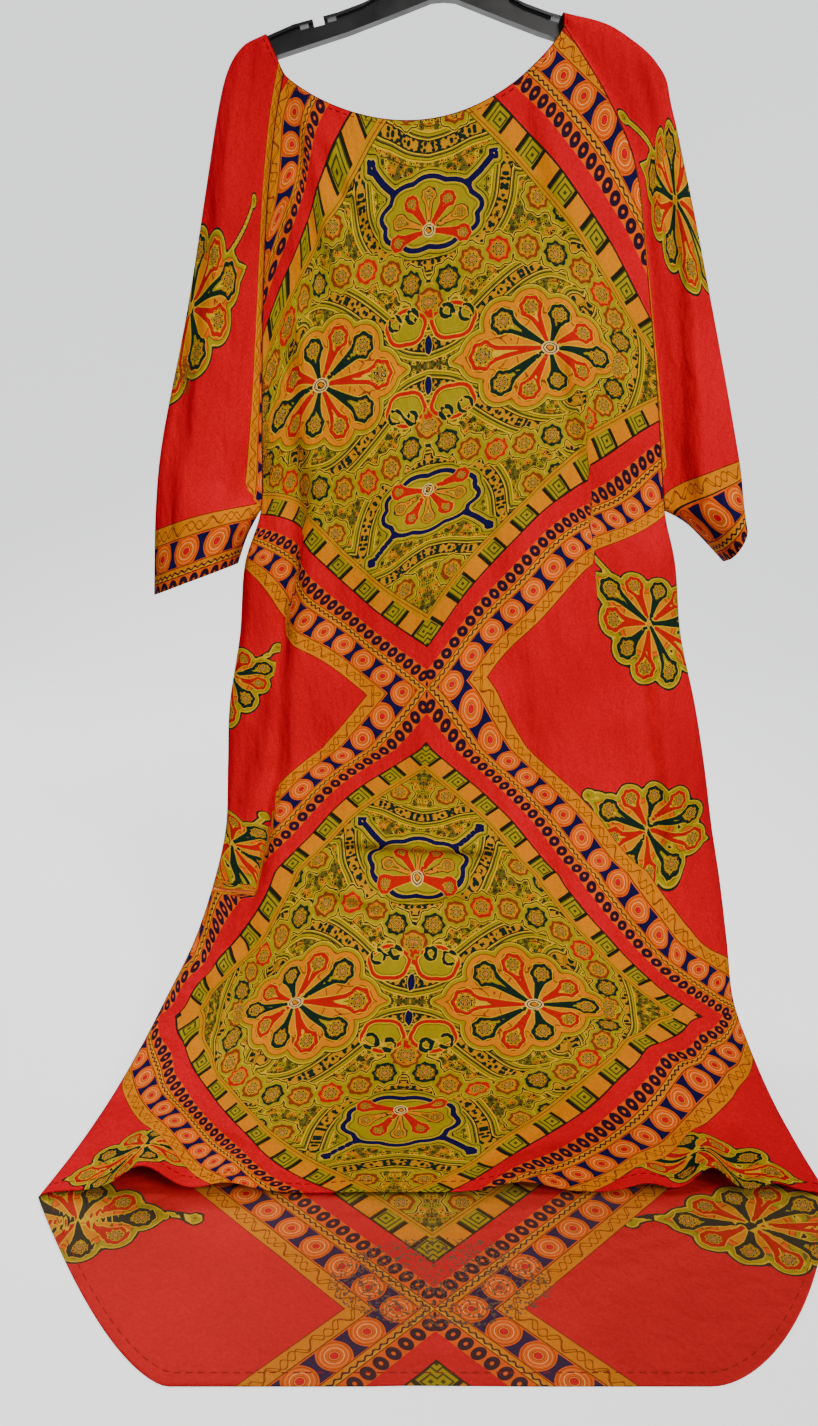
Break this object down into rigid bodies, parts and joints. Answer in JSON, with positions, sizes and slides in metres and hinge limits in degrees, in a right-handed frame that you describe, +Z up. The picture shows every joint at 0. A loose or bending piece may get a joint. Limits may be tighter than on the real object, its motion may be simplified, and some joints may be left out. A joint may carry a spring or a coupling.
{
  "type": "kaftan dress on a coat hanger",
  "caption": "Long raglan-sleeved kaftan in printed cloth, hung on a slim plastic hanger, its back hem trained forward over the ground.",
  "frame": {"origin": "where the inside of the hook's bow bears on what carries the hanger", "axes": "+Z up, -Y towards somebody who looks at the front of the dress, +X on that person's right"},
  "size_m": [0.6836, 0.625, 1.1615],
  "materials": {
    "front_cloth": "matt printed plain weave",
    "back_cloth": "matt printed plain weave, paler inside",
    "left_sleeve_cloth": "matt printed plain weave",
    "right_sleeve_cloth": "matt printed plain weave",
    "hanger_plastic": "satin moulded",
    "hook_steel": "bright"
  },
  "bodies": {
    "root": {"front_panel": "front_cloth", "back_panel": "back_cloth", "sleeve_left": "left_sleeve_cloth", "sleeve_right": "right_sleeve_cloth", "hanger_body": "hanger_plastic", "hanger_hook": "hook_steel"}
  },
  "joints": []
}
